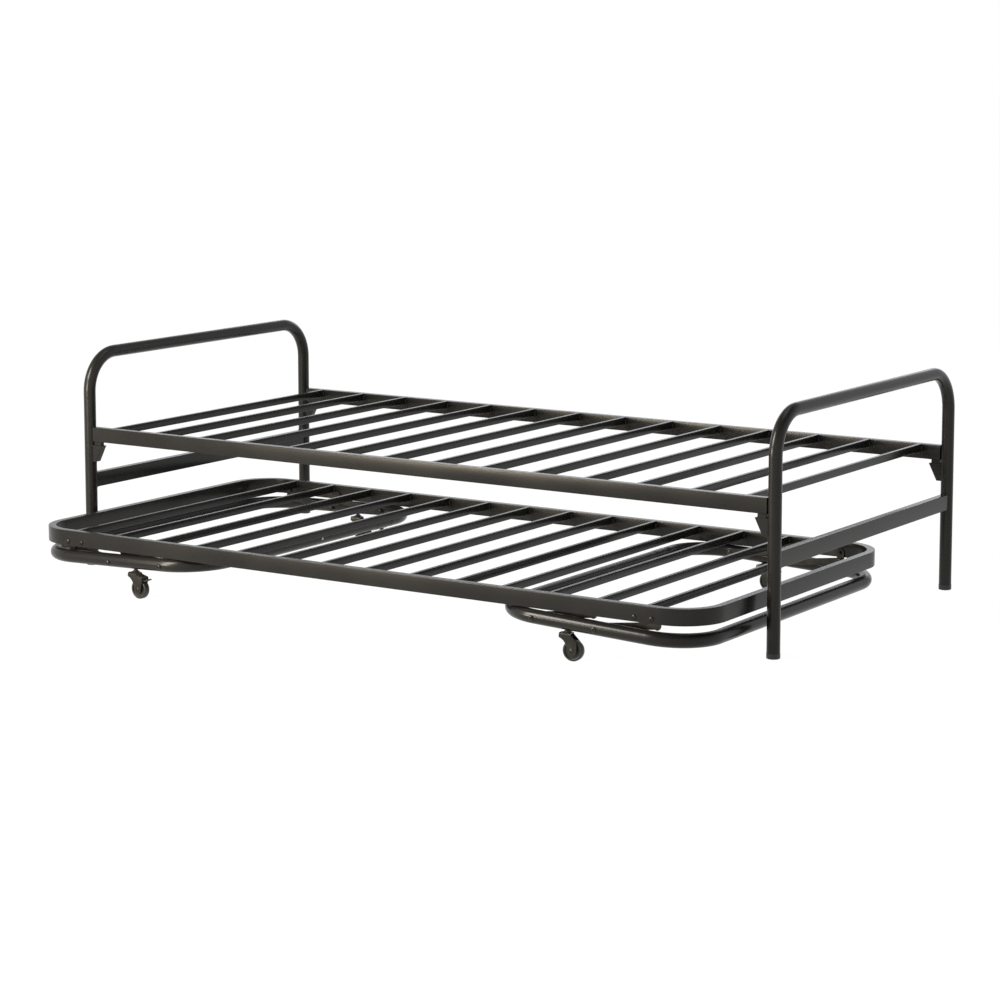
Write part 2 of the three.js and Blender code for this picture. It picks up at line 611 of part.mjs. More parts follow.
// A flat bar with its two rivets. It is drawn from its rivet in the loop, out towards the trundle's end; that
// rivet runs through the loop's tube, the other through the bracket.
function link(x, y) {
  const bar = new THREE.Shape();
  const ends = [0, x * LINK_LENGTH].sort((a, b) => a - b);
  bar.absarc(ends[0], 0, LINK_WIDTH / 2, Math.PI / 2, 1.5 * Math.PI);
  bar.absarc(ends[1], 0, LINK_WIDTH / 2, -Math.PI / 2, Math.PI / 2);
  const [near, far] = [LINK_FACE, LINK_FACE + LINK_THICK];
  return join(
    slab(bar, y, near, far),
    pin(RIVET, y, LOOP_OUTER_FACE - FIT - BITE, near + BITE),
    pin(RIVET_HEAD, y, LOOP_OUTER_FACE - FIT - RIVET_HEAD_HEIGHT, LOOP_OUTER_FACE - FIT),
    pin(SPACER, y, LOOP_INNER_FACE + SPACER_GAP, near + BITE),
    pin(RIVET_HEAD, y, far - BITE, far + RIVET_HEAD_HEIGHT),
    pin(RIVET, y, BRACKET_FACE, near + BITE, x * LINK_LENGTH),
    pin(RIVET_HEAD, y, far - BITE, far + RIVET_HEAD_HEIGHT, x * LINK_LENGTH),
  );
}

CORNERS.forEach(({ corner, x, y }) => {
  [['outer', OUTER_PIVOT], ['inner', INNER_PIVOT]].forEach(([which, fromEnd]) => {
    const mesh = add(trundleGroup, `link_${which}_${corner}`, link(x, y), zinc,
      x * (TRUNDLE_LENGTH / 2 - fromEnd), (y * TRUNDLE_DEPTH) / 2, loopHeight(fromEnd));
    mesh.rotation.y = -x * LINK_FOLD;
  });
});

// ---------------------------------------------------------------- casters

// Drawn about the stem, standing on the floor, with the wheel trailing along +X.
const CROWN_BOTTOM = WHEEL + FORK_CROWN_GAP;
const CROWN_TOP = CROWN_BOTTOM + FORK_CROWN;
const CROWN_BACK = CASTER_TRAIL + FORK_BOSS - AXLE / 2;
const FORK_INSIDE = WHEEL_WIDTH / 2 + FORK_SIDE_GAP;
const PEDAL_X = CASTER_TRAIL + PEDAL_AHEAD;
const PEDAL_Z = WHEEL / 2 + PEDAL_ABOVE;

// The cheek sweeps from the crown's nose down round the axle.
function cheekOutline(brake) {
  const shape = new THREE.Shape();
  const round = FORK_CROWN / 4;
  shape.moveTo(-FORK_NOSE + round, CROWN_TOP);
  shape.lineTo(-FORK_NOSE, CROWN_TOP - round);
  shape.lineTo(-FORK_NOSE, CROWN_BOTTOM);
  shape.quadraticCurveTo(0, CROWN_BOTTOM - FORK_CROWN / 2, CASTER_TRAIL - FORK_BOSS, WHEEL / 2);
  shape.absarc(CASTER_TRAIL, WHEEL / 2, FORK_BOSS, Math.PI, 2 * Math.PI);
  if (brake) {
    shape.lineTo(PEDAL_X + PEDAL_BARREL / 2, PEDAL_Z - PEDAL_BARREL / 2);
    shape.lineTo(PEDAL_X + PEDAL_BARREL / 2, PEDAL_Z + PEDAL_BARREL / 2);
  } else {
    shape.lineTo(CASTER_TRAIL + FORK_BOSS - round, CROWN_BOTTOM - round);
  }
  shape.lineTo(CROWN_BACK, CROWN_TOP - round);
  shape.lineTo(CROWN_BACK - round, CROWN_TOP);
  return shape;
}

function crownOutline() {
  const round = FORK_CROWN / 4;
  return outline([
    [-FORK_NOSE, CROWN_BOTTOM], [CROWN_BACK - round, CROWN_BOTTOM], [CROWN_BACK - round, CROWN_TOP],
    [-FORK_NOSE + round, CROWN_TOP], [-FORK_NOSE, CROWN_TOP - round],
  ]);
}

function fork(brake) {
  const stemFoot = CROWN_TOP - BITE;
  const tubeBottom = loopHeight(CASTER_PLACE) - LOOP_TUBE / 2 / Math.cos(LOOP_TILT);
  const neckTop = tubeBottom - FIT - (STEM_NECK / 2) * Math.tan(LOOP_TILT);
  const upright = (diameter, from, to) => place(rod(diameter, to - from, 'z'), 0, 0, (from + to) / 2);
  const cheeks = FACES.map(([, y]) => {
    const cheek = slab(cheekOutline(brake), -y, FORK_INSIDE, FORK_INSIDE + FORK_PLATE);
    return brake ? cut(cheek, place(bore(PEDAL_PIN, WHEEL, 'y'), PEDAL_X, 0, PEDAL_Z)) : cheek;
  });
  return join(
    plate(crownOutline(), -FORK_INSIDE - BITE, 2 * (FORK_INSIDE + BITE)),
    ...cheeks,
    place(rod(AXLE, 2 * (FORK_INSIDE + FORK_PLATE + AXLE_STANDS), 'y'), CASTER_TRAIL, 0, WHEEL / 2),
    upright(STEM_NECK, stemFoot, neckTop),
    upright(STEM, stemFoot, tubeBottom + STEM_ABOVE),
  );
}

function wheel() {
  const [radius, half] = [WHEEL / 2, WHEEL_WIDTH / 2];
  const hub = AXLE / 2 + FIT;
  const rim = radius - TREAD;
  const side = [
    [hub, half], [WHEEL_HUB / 2, half], [WHEEL_HUB / 2, half - WHEEL_DISH], [rim, half - WHEEL_DISH],
    [rim, half], [radius - TREAD_ROUND, half], [radius, half - TREAD_ROUND],
  ];
  const profile = [...side.map(([r, y]) => [r, -y]), ...side.reverse(), [hub, -half]];
  return new THREE.LatheGeometry(profile.map(([r, y]) => new THREE.Vector2(r, y)), 16);
}

// Drawn about its pin. The shoe under the barrel bears on the tread when the pedal is pressed down.
function brakePedal() {
  const width = 2 * (FORK_INSIDE - FIT);
  const lever = place(new THREE.BoxGeometry(PEDAL_REACH, width, PEDAL_THICK), PEDAL_REACH / 2, 0, 0);
  lever.rotateY(-PEDAL_LIFT);
  const toAxle = Math.atan2(-PEDAL_ABOVE, -PEDAL_AHEAD);
  const shoeLength = Math.hypot(PEDAL_AHEAD, PEDAL_ABOVE) - WHEEL / 2 - 2 * FIT;
  const shoe = place(new THREE.BoxGeometry(shoeLength, width, PEDAL_SHOE), shoeLength / 2, 0, 0);
  shoe.rotateY(-(toAxle + PEDAL_TRAVEL));
  const spindle = rod(PEDAL_PIN, 2 * (FORK_INSIDE + FORK_PLATE), 'y');
  return join(lever, rod(PEDAL_BARREL, width, 'y'), shoe, spindle);
}

CASTERS.forEach(({ place: where, x, y, swivel, brake }) => {
  const caster = new THREE.Group();
  caster.position.set(x * (TRUNDLE_LENGTH / 2 - CASTER_PLACE), y * (TRUNDLE_DEPTH / 2 - LOOP_SIDE_INSET), 0);
  caster.rotation.z = THREE.MathUtils.degToRad(swivel);
  trundleGroup.add(caster);
  add(caster, `caster_fork_${where}`, fork(brake), zinc);
  add(caster, `caster_wheel_${where}`, wheel(), nylon, CASTER_TRAIL, 0, WHEEL / 2);
  if (brake) add(caster, `brake_pedal_${where}`, brakePedal(), plastic, PEDAL_X, 0, PEDAL_Z);
});

// ---------------------------------------------------------------- the whole

const trundleBed = new THREE.Group();
trundleBed.add(bedGroup, trundleGroup);

export default trundleBed;
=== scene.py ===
"""The finished surfaces of a tubular steel day bed and the trundle that rolls out from under it.

Metres, +X along the bed, +Y to the back, +Z up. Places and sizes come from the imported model.
"""

import json
import math
import random

import bmesh
import bpy
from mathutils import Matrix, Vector


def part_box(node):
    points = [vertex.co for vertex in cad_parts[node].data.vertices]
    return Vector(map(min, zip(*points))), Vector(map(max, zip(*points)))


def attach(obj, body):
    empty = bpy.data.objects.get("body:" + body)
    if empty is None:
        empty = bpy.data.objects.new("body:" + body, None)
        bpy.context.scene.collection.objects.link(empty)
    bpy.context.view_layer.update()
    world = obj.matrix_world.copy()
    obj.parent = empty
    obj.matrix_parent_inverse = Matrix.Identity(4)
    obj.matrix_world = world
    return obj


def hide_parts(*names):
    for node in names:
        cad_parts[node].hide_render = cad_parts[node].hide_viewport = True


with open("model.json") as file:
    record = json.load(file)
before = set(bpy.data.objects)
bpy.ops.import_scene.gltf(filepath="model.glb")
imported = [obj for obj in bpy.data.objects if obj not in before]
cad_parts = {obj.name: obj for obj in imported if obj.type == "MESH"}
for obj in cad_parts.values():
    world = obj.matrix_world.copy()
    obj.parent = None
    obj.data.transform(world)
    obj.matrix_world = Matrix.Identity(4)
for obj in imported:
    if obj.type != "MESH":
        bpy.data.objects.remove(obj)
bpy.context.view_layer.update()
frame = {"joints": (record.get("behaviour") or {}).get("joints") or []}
MM = 0.001
X, Y, Z = Vector((1, 0, 0)), Vector((0, 1, 0)), Vector((0, 0, 1))


def centre(node):
    """The middle of a node's box."""
    low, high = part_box(node)
    return (Vector(low) + Vector(high)) / 2


def size(node):
    """The size of a node's box."""
    low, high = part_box(node)
    return Vector(high) - Vector(low)


# ---- Camera
# A long lens off the front right corner, a little above the height of the hoops. The shift keeps the uprights
# close to parallel, as a view camera does.
CAMERA_AZIMUTH = math.radians(33.07)
CAMERA_DOWN = math.radians(7.42)

camera_data = bpy.data.cameras.new("camera")
camera_data.sensor_width = 36
camera_data.lens = 103.04
camera_data.shift_x = -0.0086
camera_data.shift_y = -0.12
camera = bpy.data.objects.new("camera", camera_data)
bpy.context.scene.collection.objects.link(camera)
camera.location = (4.0365, -6.0648, 1.485)
looking = Vector((
    -math.sin(CAMERA_AZIMUTH) * math.cos(CAMERA_DOWN),
    math.cos(CAMERA_AZIMUTH) * math.cos(CAMERA_DOWN),
    -math.sin(CAMERA_DOWN),
))
camera.rotation_mode = "QUATERNION"
camera.rotation_quaternion = looking.to_track_quat("-Z", "Y")
bpy.context.scene.camera = camera


# ---- Studio
# A white floor without an end in a white room with a darker ceiling. A soft box at the front left draws the
# streaks on the tubes, a warm one stands low below it, and two weak ones light the tops and the back.
def linear(code):
    """An sRGB hex colour as linear red, green, blue and alpha."""
    channels = [int(code[i:i + 2], 16) / 255 for i in (1, 3, 5)]
    return [c / 12.92 if c <= 0.04045 else ((c + 0.055) / 1.055) ** 2.4 for c in channels] + [1.0]


def add_node(tree, kind, inputs=None, links=None, **settings):
    """Adds a node with its settings, its inputs' values and the sockets that feed its inputs."""
    node = tree.nodes.new(kind)
    for name, value in settings.items():
        setattr(node, name, value)
    for name, value in (inputs or {}).items():
        node.inputs[name].default_value = value
    for name, socket in (links or {}).items():
        tree.links.new(socket, node.inputs[name])
    return node


def straight_rays(tree):
    """1 where the camera, a reflection or clear material looks, and 0 for the light that falls on things."""
    paths = add_node(tree, "ShaderNodeLightPath")
    seen = paths.outputs["Is Camera Ray"]
    for kind in ("Is Glossy Ray", "Is Transmission Ray"):
        either = add_node(tree, "ShaderNodeMath", None, {0: seen, 1: paths.outputs[kind]}, operation="MAXIMUM")
        seen = either.outputs[0]
    return seen


SKY = "#eef1fa"
SKY_STRENGTH = 0.5
WALL_TOP = 0.34  # the sine of the angle up to which the room is white
CEILING_START = 0.8
CEILING = 0.22
FLOOR_SIZE = 80
FLOOR_SHADE = 0.1  # how much of the floor's own shading shows in the white

bpy.context.scene.view_settings.view_transform = "Standard"

world = bpy.data.worlds.new("studio")
bpy.context.scene.world = world
world.use_nodes = True
tree = world.node_tree
tree.nodes.clear()
seen = straight_rays(tree)
sky = add_node(tree, "ShaderNodeBackground", {"Color": linear(SKY), "Strength": SKY_STRENGTH})
direction = add_node(tree, "ShaderNodeTexCoord")
height = add_node(tree, "ShaderNodeSeparateXYZ", None, {"Vector": direction.outputs["Generated"]})
room = add_node(tree, "ShaderNodeMapRange",
                {"From Min": WALL_TOP, "From Max": CEILING_START, "To Min": 1, "To Max": CEILING},
                {"Value": height.outputs["Z"]})
white = add_node(tree, "ShaderNodeBackground", {"Color": (1, 1, 1, 1)}, {"Strength": room.outputs["Result"]})
mixed = add_node(tree, "ShaderNodeMixShader", None,
                 {0: seen, 1: sky.outputs[0], 2: white.outputs[0]})
add_node(tree, "ShaderNodeOutputWorld", None, {"Surface": mixed.outputs[0]})

floor_material = bpy.data.materials.new("white_floor")
floor_material.use_nodes = True
tree = floor_material.node_tree
tree.nodes.clear()
paint = add_node(tree, "ShaderNodeBsdfDiffuse", {"Color": linear("#f2eee6")})
glow = add_node(tree, "ShaderNodeEmission", {"Color": (1, 1, 1, 1), "Strength": 1 - FLOOR_SHADE * 0.4})
shade = add_node(tree, "ShaderNodeMixShader", {0: FLOOR_SHADE}, {2: paint.outputs[0]})
lit = add_node(tree, "ShaderNodeAddShader", None, {0: shade.outputs[0], 1: glow.outputs[0]})
seen = straight_rays(tree)
floor_mix = add_node(tree, "ShaderNodeMixShader", None,
                     {0: seen, 1: paint.outputs[0], 2: lit.outputs[0]})
add_node(tree, "ShaderNodeOutputMaterial", None, {"Surface": floor_mix.outputs[0]})

bpy.ops.mesh.primitive_plane_add(size=FLOOR_SIZE, location=(0, 0, 0))
floor = bpy.context.object
floor.name = "floor"
floor.data.materials.append(floor_material)

# name, place, what it faces, width, height, watts, colour
LAMPS = [
    ("lamp_key", (-1.9, -3.4, 2.7), (0.3, -0.5, 0.2), 1.5, 1.8, 260, "#fffaf2"),
    ("lamp_fill", (-1.7, -3.2, 0.75), (0.1, -0.3, 0.3), 0.8, 0.7, 80, "#ffefd6"),
    ("lamp_overhead", (0.6, 0.6, 4.4), (0, 0, 0), 3.0, 2.0, 26, "#eef3ff"),
    ("lamp_back", (-2.2, 5.0, 2.1), (0, 0, 0.3), 5.0, 1.2, 26, "#eef3ff"),
]
for name, place, target, width, height, watts, colour in LAMPS:
    lamp_data = bpy.data.lights.new(name, "AREA")
    lamp_data.shape = "RECTANGLE"
    lamp_data.size, lamp_data.size_y = width, height
    lamp_data.energy = watts
    lamp_data.color = linear(colour)[:3]
    lamp = bpy.data.objects.new(name, lamp_data)
    lamp.location = place
    lamp.rotation_mode = "QUATERNION"
    lamp.rotation_quaternion = (Vector(target) - Vector(place)).to_track_quat("-Z", "Y")
    bpy.context.scene.collection.objects.link(lamp)


# ---- Satin black powder coat
# Polyester powder, sprayed dry on welded steel and baked. It flows over edges and beads, dries a warm black and
# keeps a fine orange peel, which softens the studio's reflection.
def new_material(name, colour, roughness, metallic=0.0, ior=1.5):
    """A principled material. Gives the material, its tree and its shader."""
    material = bpy.data.materials.new(name)
    material.use_nodes = True
    tree = material.node_tree
    shader = tree.nodes["Principled BSDF"]
    shader.inputs["Base Color"].default_value = linear(colour)
    shader.inputs["Roughness"].default_value = roughness
    shader.inputs["Metallic"].default_value = metallic
    if metallic < 1:
        shader.inputs["IOR"].default_value = ior
    return material, tree, shader


def per_metre(millimetres):
    """The noise scale that gives lumps of this size."""
    return 1 / (millimetres * MM)


PEEL_SIZE = 1.6  # mm; the real peel is nearer 1 mm, and is drawn coarser to show
PEEL_DEPTH = 0.03 * MM
DRIFT_SIZE = 220  # mm; where the powder lay thicker or thinner

powder_coat, tree, shader = new_material("powder_coated_steel", "#191816", 0.25, ior=1.31)
where = add_node(tree, "ShaderNodeTexCoord")
drift = add_node(tree, "ShaderNodeTexNoise", {"Scale": per_metre(DRIFT_SIZE), "Detail": 4},
                 {"Vector": where.outputs["Object"]})
tint = add_node(tree, "ShaderNodeValToRGB", None, {"Fac": drift.outputs["Fac"]})
tint.color_ramp.elements[0].position = 0.35
tint.color_ramp.elements[0].color = linear("#151412")
tint.color_ramp.elements[1].position = 0.68
tint.color_ramp.elements[1].color = linear("#1d1c19")
tree.links.new(tint.outputs["Color"], shader.inputs["Base Color"])
sheen = add_node(tree, "ShaderNodeMapRange", {"To Min": 0.21, "To Max": 0.29}, {"Value": drift.outputs["Fac"]})
tree.links.new(sheen.outputs["Result"], shader.inputs["Roughness"])
peel = add_node(tree, "ShaderNodeTexNoise", {"Scale": per_metre(PEEL_SIZE), "Detail": 2},
                {"Vector": where.outputs["Object"]})
relief = add_node(tree, "ShaderNodeBump", {"Strength": 0.5, "Distance": PEEL_DEPTH},
                  {"Height": peel.outputs["Fac"]})
tree.links.new(relief.outputs["Normal"], shader.inputs["Normal"])


# ---- Blackened zinc, nylon
# Brackets, links, screws and caster hoods are plated and passivated black. The wheels are moulded nylon.
dark_zinc, tree, shader = new_material("black_zinc_plate", "#383733", 0.3, metallic=0.95)
where = add_node(tree, "ShaderNodeTexCoord")
patches = add_node(tree, "ShaderNodeTexNoise", {"Scale": per_metre(24), "Detail": 4},
                   {"Vector": where.outputs["Object"]})
tint = add_node(tree, "ShaderNodeValToRGB", None, {"Fac": patches.outputs["Fac"]})
tint.color_ramp.elements[0].position = 0.3
tint.color_ramp.elements[0].color = linear("#302f2b")
tint.color_ramp.elements[1].position = 0.7
tint.color_ramp.elements[1].color = linear("#403e39")
tree.links.new(tint.outputs["Color"], shader.inputs["Base Color"])
sheen = add_node(tree, "ShaderNodeMapRange", {"To Min": 0.24, "To Max": 0.38}, {"Value": patches.outputs["Fac"]})
tree.links.new(sheen.outputs["Result"], shader.inputs["Roughness"])

wheel_nylon, tree, shader = new_material("moulded_nylon", "#1d1c19", 0.42, ior=1.45)
where = add_node(tree, "ShaderNodeTexCoord")
scuffs = add_node(tree, "ShaderNodeTexNoise", {"Scale": per_metre(3), "Detail": 5},
                  {"Vector": where.outputs["Object"]})
tint = add_node(tree, "ShaderNodeValToRGB", None, {"Fac": scuffs.outputs["Fac"]})
tint.color_ramp.elements[0].position = 0.35
tint.color_ramp.elements[0].color = linear("#191815")
tint.color_ramp.elements[1].position = 0.72
tint.color_ramp.elements[1].color = linear("#23211d")
tree.links.new(tint.outputs["Color"], shader.inputs["Base Color"])

# Painted light: this pale colour paints a bright spot on each base loop's inner run, as a small button there.
painted_spot_material, tree, shader = new_material("painted_bright_spot", "#d9d6cd", 0.4, ior=1.53)


# ---- End hoops
# One length of round tube bent to an upside-down U. It carries two wedge pockets of folded sheet, welded under
# the rails, and a moulded foot closes each leg.
def bent_path(corners, bend, steps, closed=False):
    """Where a bent tube's centre line goes: pairs of a point and the direction there."""
    stations = []
    count = len(corners)
    for i, corner in enumerate(corners):
        if not closed and i in (0, count - 1):
            ahead = corners[1] - corners[0] if i == 0 else corner - corners[i - 1]
            stations.append((corner.copy(), ahead.normalized()))
            continue
        inward = (corner - corners[i - 1]).normalized()
        onward = (corners[(i + 1) % count] - corner).normalized()
        turn = inward.angle(onward)
        start = corner - inward * bend * math.tan(turn / 2)
        side = (onward - inward * onward.dot(inward)).normalized()
        for step in range(steps + 1):
            angle = turn * step / steps
            point = start + inward * bend * math.sin(angle) + side * bend * (1 - math.cos(angle))
            stations.append((point, inward * math.cos(angle) + side * math.sin(angle)))
    return stations


def round_section(diameter, sides=36):
    """A circle's points, as pairs across and up."""
    return [(diameter / 2 * math.cos(2 * math.pi * i / sides), diameter / 2 * math.sin(2 * math.pi * i / sides))
            for i in range(sides)]


def box_section(width, height, radius, steps=4):
    """A rectangle's points with rounded corners, as pairs across and up."""
    points = []
    for quarter, (across, up) in enumerate([(1, 1), (-1, 1), (-1, -1), (1, -1)]):
        middle = (across * (width / 2 - radius), up * (height / 2 - radius))
        for step in range(steps + 1):
            angle = math.pi / 2 * (quarter + step / steps)
            points.append((middle[0] + radius * math.cos(angle), middle[1] + radius * math.sin(angle)))
    return points


def sweep(bm, stations, up, section, closed=False, scales=None):
    """Carries a section along stations that lie in one plane, whose normal is up."""
    rings = []
    for i, (point, along) in enumerate(stations):
        across = along.cross(up).normalized()
        scale = scales[i] if scales else 1
        rings.append([bm.verts.new(point + (across * a + up * b) * scale) for a, b in section])
    faces = []
    sides = len(section)
    for i in range(len(rings) - (0 if closed else 1)):
        near, far = rings[i], rings[(i + 1) % len(rings)]
        for k in range(sides):
            n = (k + 1) % sides
            faces.append(bm.faces.new((near[k], near[n], far[n], far[k])))
    if not closed:
        faces += [bm.faces.new(rings[0]), bm.faces.new(rings[-1])]
    bmesh.ops.recalc_face_normals(bm, faces=faces)


def straight(start, end):
    """A straight line's two stations."""
    along = (end - start).normalized()
    return [(start, along), (end, along)]


weld_random = random.Random(7)
WELD_PITCH = 1.3 * MM


def weld_bead(bm, points, diameter):
    """A ripple of weld metal along a line of points."""
    stations = []
    for start, end in zip(points, points[1:]):
        steps = max(2, round((end - start).length / WELD_PITCH))
        along = (end - start).normalized()
        stations += [(start.lerp(end, i / steps), along) for i in range(steps)]
    stations.append((points[-1], stations[-1][1]))
    first = stations[0][1]
    up = first.orthogonal().normalized()
    last = len(stations) - 1
    scales = [weld_random.uniform(0.78, 1.1) * min(1, 0.45 + min(i, last - i) * 0.4) for i in range(last + 1)]
    rings = []
    for (point, along), scale in zip(stations, scales):
        across = along.cross(up).normalized()
        over = across.cross(along)
        rings.append([bm.verts.new(point + (across * a + over * b) * scale)
                      for a, b in round_section(diameter, 8)])
    faces = [bm.faces.new(rings[0]), bm.faces.new(rings[-1])]
    for near, far in zip(rings, rings[1:]):
        faces += [bm.faces.new((near[k], near[(k + 1) % 8], far[(k + 1) % 8], far[k])) for k in range(8)]
    bmesh.ops.recalc_face_normals(bm, faces=faces)


def plate(bm, outline, origin, across, up, thickness, bevel=0.4 * MM):
    """A flat pressing: an outline drawn across and up from origin, thickened to both sides, edges eased."""
    through = across.cross(up).normalized() * thickness / 2
    near = [bm.verts.new(origin + across * a + up * b - through) for a, b in outline]
    far = [bm.verts.new(origin + across * a + up * b + through) for a, b in outline]
    faces = [bm.faces.new(near), bm.faces.new(far)]
    count = len(outline)
    faces += [bm.faces.new((near[i], near[(i + 1) % count], far[(i + 1) % count], far[i])) for i in range(count)]
    bmesh.ops.recalc_face_normals(bm, faces=faces)
    rims = list({edge for face in faces[:2] for edge in face.edges})
    bmesh.ops.bevel(bm, geom=rims, offset=bevel, segments=2, affect="EDGES")


def turn(bm, profile, origin, axis, sides=28):
    """A turned form: pairs of radius and height along an axis, from one end to the other."""
    across = axis.orthogonal().normalized()
    over = axis.cross(across).normalized()
    rings = []
    for radius, height in profile:
        if radius < 1e-6:
            rings.append([bm.verts.new(origin + axis * height)])
            continue
        rings.append([bm.verts.new(origin + axis * height + (
            across * math.cos(2 * math.pi * i / sides) + over * math.sin(2 * math.pi * i / sides)) * radius)
            for i in range(sides)])
    faces = []
    for near, far in zip(rings, rings[1:]):
        for i in range(sides):
            n = (i + 1) % sides
            if len(near) == 1 and len(far) == 1:
                continue
            if len(near) == 1:
                faces.append(bm.faces.new((near[0], far[n], far[i])))
            elif len(far) == 1:
                faces.append(bm.faces.new((near[i], near[n], far[0])))
            else:
                faces.append(bm.faces.new((near[i], near[n], far[n], far[i])))
    for ring in (rings[0], rings[-1]):
        if len(ring) > 1:
            faces.append(bm.faces.new(ring))
    bmesh.ops.recalc_face_normals(bm, faces=faces)


def finish_piece(bm, name, body, material, replaces=(), sharp=35):
    """Makes the piece, shades it smooth up to its sharp edges, and ties it to the model."""
    mesh = bpy.data.meshes.new(name)
    bm.to_mesh(mesh)
    bm.free()
    mesh.polygons.foreach_set("use_smooth", [True] * len(mesh.polygons))
    mesh.set_sharp_from_angle(angle=math.radians(sharp))
    mesh.materials.append(material)
    piece = bpy.data.objects.new(name, mesh)
    bpy.context.scene.collection.objects.link(piece)
    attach(piece, body)
    if replaces:
        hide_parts(*replaces)
    return piece


HOOP_TUBE = 32 * MM
HOOP_BEND = 100 * MM
FOOT_SOLE = 3 * MM
POCKET_TOP_REACH = 32 * MM
POCKET_FOOT_REACH = 10 * MM
POCKET_WIDTH = 18 * MM
POCKET_DROP = 44 * MM
POCKET_BELOW = 10 * MM  # the tongue's neck shows between the rail and the pocket
POCKET_SHEET = 2.5 * MM

SIDES = [("left", -1), ("right", 1)]
FACES = [("front", -1), ("back", 1)]
leg_x = {side: centre(f"crossbar_{side}").x for side, _ in SIDES}
leg_y = {face: centre(f"side_rail_{face}").y for face, _ in FACES}
rail_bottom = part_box("bed_slat_01")[1][2] + 1 * MM - 38 * MM
hoop_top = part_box("hoop_left")[1][2] - HOOP_TUBE / 2

for side, x in SIDES:
    bm = bmesh.new()
    legs = [Vector((leg_x[side], leg_y[face], FOOT_SOLE)) for face in ("front", "back")]
    corners = [legs[0], Vector((legs[0].x, legs[0].y, hoop_top)), Vector((legs[1].x, legs[1].y, hoop_top)), legs[1]]
    sweep(bm, bent_path(corners, HOOP_BEND, 16), X, round_section(HOOP_TUBE))
    for face, y in FACES:
        foot = Vector((leg_x[side], leg_y[face], 0))
        toward = -x * X
        top = rail_bottom - POCKET_BELOW
        bottom = top - POCKET_DROP
        grip = HOOP_TUBE / 2 - 4 * MM
        far_top, far_bottom = HOOP_TUBE / 2 + POCKET_TOP_REACH, HOOP_TUBE / 2 + POCKET_FOOT_REACH
        cheek = [(grip, top), (far_top, top), (far_bottom, bottom), (grip, bottom)]
        for hand in (-1, 1):
            offset = hand * (POCKET_WIDTH - POCKET_SHEET) / 2 * Y
            plate(bm, cheek, foot + offset, toward, Z, POCKET_SHEET, 0.6 * MM)
            edge = foot + toward * math.sqrt((HOOP_TUBE / 2) ** 2 - (POCKET_WIDTH / 2) ** 2)
            edge += hand * (POCKET_WIDTH / 2 + 0.4 * MM) * Y
            weld_bead(bm, [edge + Z * bottom, edge + Z * top], 3.4 * MM)
        slope = Vector((far_top - far_bottom, top - bottom)).normalized()
        back = [(far_top, top), (far_bottom, bottom),
                (far_bottom - POCKET_SHEET * slope.y, bottom + POCKET_SHEET * slope.x),
                (far_top - POCKET_SHEET * slope.y, top)]
        plate(bm, back, foot, toward, Z, POCKET_WIDTH - 0.2 * MM, 0.3 * MM)
    finish_piece(bm, f"hoop_tube_{side}", "day_bed", powder_coat, [f"hoop_{side}"])


# ---- Feet
# A moulded cap pushed over the end of each leg, with an eased sole. It is black and a little duller than the coat.
black_plastic, tree, shader = new_material("moulded_black_plastic", "#1b1b1b", 0.5, ior=1.46)
where = add_node(tree, "ShaderNodeTexCoord")
grain = add_node(tree, "ShaderNodeTexNoise", {"Scale": per_metre(0.9), "Detail": 3},
                 {"Vector": where.outputs["Object"]})
relief = add_node(tree, "ShaderNodeBump", {"Strength": 0.4, "Distance": 0.03 * MM},
                  {"Height": grain.outputs["Fac"]})
tree.links.new(relief.outputs["Normal"], shader.inputs["Normal"])

FOOT_RADIUS = HOOP_TUBE / 2 + 0.4 * MM
FOOT_HEIGHT = 14 * MM

for side, x in SIDES:
    for face, y in FACES:
        bm = bmesh.new()
        profile = [(0, 0), (FOOT_RADIUS - 2 * MM, 0), (FOOT_RADIUS - 0.6 * MM, 0.6 * MM), (FOOT_RADIUS, 2 * MM),
                   (FOOT_RADIUS, FOOT_HEIGHT - 0.8 * MM), (FOOT_RADIUS - 0.8 * MM, FOOT_HEIGHT),
                   (HOOP_TUBE / 2 - 1 * MM, FOOT_HEIGHT), (HOOP_TUBE / 2 - 1 * MM, FOOT_HEIGHT - 2 * MM),
                   (0, FOOT_HEIGHT - 2 * MM)]
        turn(bm, profile, Vector((leg_x[side], leg_y[face], 0)), Z, 36)
        finish_piece(bm, f"foot_{face}_{side}", "day_bed", black_plastic)


# ---- Crossbars
# Rectangular tube coped to the legs and welded all round each end.
CROSSBAR_DEPTH = 20 * MM
BAR_ROUND = 1.2 * MM
BURIED = 5 * MM  # how far a bar's end goes into the leg it is coped to

for side, x in SIDES:
    bm = bmesh.new()
    middle, across = centre(f"crossbar_{side}"), size(f"crossbar_{side}")
    ends = [Vector((middle.x, leg_y[face] - y * (HOOP_TUBE / 2 - BURIED), middle.z)) for face, y in FACES]
    sweep(bm, straight(*ends), Z, box_section(CROSSBAR_DEPTH, across.z, BAR_ROUND))
    for face, y in FACES:
        seam = []
        for a, b in box_section(CROSSBAR_DEPTH + 1 * MM, across.z + 1 * MM, BAR_ROUND, 2):
            reach = math.sqrt((HOOP_TUBE / 2) ** 2 - a * a) + 0.3 * MM
            seam.append(Vector((middle.x + a, leg_y[face] - y * reach, middle.z + b)))
        weld_bead(bm, seam + seam[:1], 3.2 * MM)
    finish_piece(bm, f"crossbar_tube_{side}", "day_bed", powder_coat, [f"crossbar_{side}"])


# ---- Side rails
# The same tube laid between the hoops. Under each end hangs a folded tongue that drops into the wedge pocket.
RAIL_DEPTH = 20 * MM
RAIL_GAP = 0.4 * MM  # the rail's cut end stops just short of the leg
TONGUE_GAP = 0.4 * MM
NECK_INSET = 3 * MM

